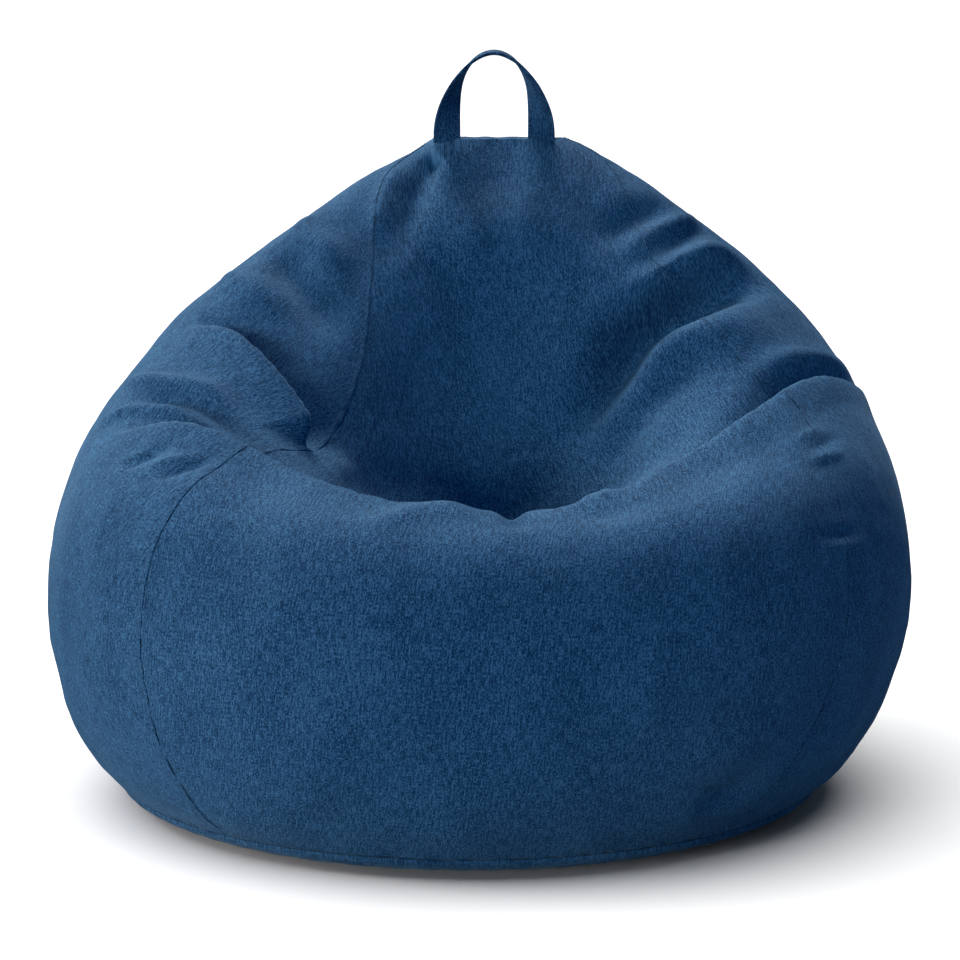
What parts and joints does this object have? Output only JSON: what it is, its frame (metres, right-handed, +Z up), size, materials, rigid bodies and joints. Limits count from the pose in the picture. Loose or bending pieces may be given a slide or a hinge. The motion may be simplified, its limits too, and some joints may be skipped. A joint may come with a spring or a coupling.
{
  "type": "bean bag chair",
  "caption": "Teardrop bean bag chair with a moulded seat, sewn side panels, a flat base, a carry handle on top and a zip along the rear base seam.",
  "frame": {"origin": "on the floor under the middle of the whole bag", "axes": "+Z up, the seat faces -Y, +X to the right of someone looking at the seat"},
  "size_m": [0.999, 0.999, 0.8615],
  "materials": {
    "cover_cloth": "soft heathered woven, matt",
    "strap_cloth": "folded and stitched woven strap, matt",
    "liner_cloth": "plain thin woven, matt",
    "label_tape": "blank satin tape",
    "zip_tape": "fine herringbone tape, matt",
    "zip_teeth": "moulded nylon coil",
    "zip_metal": "satin nickel",
    "bead_foam": "white expanded beads"
  },
  "bodies": {
    "bag": {"front_panel": "cover_cloth", "left_side_panel": "cover_cloth", "right_side_panel": "cover_cloth", "back_panel": "cover_cloth", "top_panel": "cover_cloth", "base_panel": "cover_cloth", "care_label": "label_tape", "cover_zip_upper_tape": "zip_tape", "cover_zip_lower_tape": "zip_tape", "cover_zip_upper_teeth": "zip_teeth", "cover_zip_lower_teeth": "zip_teeth", "cover_zip_closed_stop": "zip_metal", "cover_zip_open_stop": "zip_metal", "liner_front_panel": "liner_cloth", "liner_left_side_panel": "liner_cloth", "liner_right_side_panel": "liner_cloth", "liner_back_panel": "liner_cloth", "liner_top_panel": "liner_cloth", "liner_base_panel": "liner_cloth", "liner_zip_upper_tape": "zip_tape", "liner_zip_lower_tape": "zip_tape", "liner_zip_upper_teeth": "zip_teeth", "liner_zip_lower_teeth": "zip_teeth", "liner_zip_closed_stop": "zip_metal", "liner_zip_open_stop": "zip_metal", "bead_filling": "bead_foam"},
    "handle": {"carry_handle": "strap_cloth"},
    "cover_slider": {"cover_zip_slider": "zip_metal"},
    "cover_pull": {"cover_zip_pull": "zip_metal"},
    "liner_slider": {"liner_zip_slider": "zip_metal"}
  },
  "joints": [
    {"name": "handle_fold", "type": "hinge", "parent": "bag", "child": "handle", "pos_m": [0.019, 0.199, 0.7595], "axis": [1, 0, 0], "range_deg": [-75, 75], "stiffness_Nm_per_rad": 0.02},
    {"name": "cover_zip_travel", "type": "hinge", "parent": "bag", "child": "cover_slider", "pos_m": [-0.01, 0, 0.043], "axis": [0, 0, 1], "range_deg": [0, 91]},
    {"name": "cover_pull_flip", "type": "hinge", "parent": "cover_slider", "child": "cover_pull", "pos_m": [0.29228, 0.29705, 0.043], "axis": [0, 0, 1], "range_deg": [-175, 0]},
    {"name": "liner_zip_travel", "type": "hinge", "parent": "bag", "child": "liner_slider", "pos_m": [-0.01, 0, 0.043], "axis": [0, 0, 1], "range_deg": [0, 91]}
  ]
}
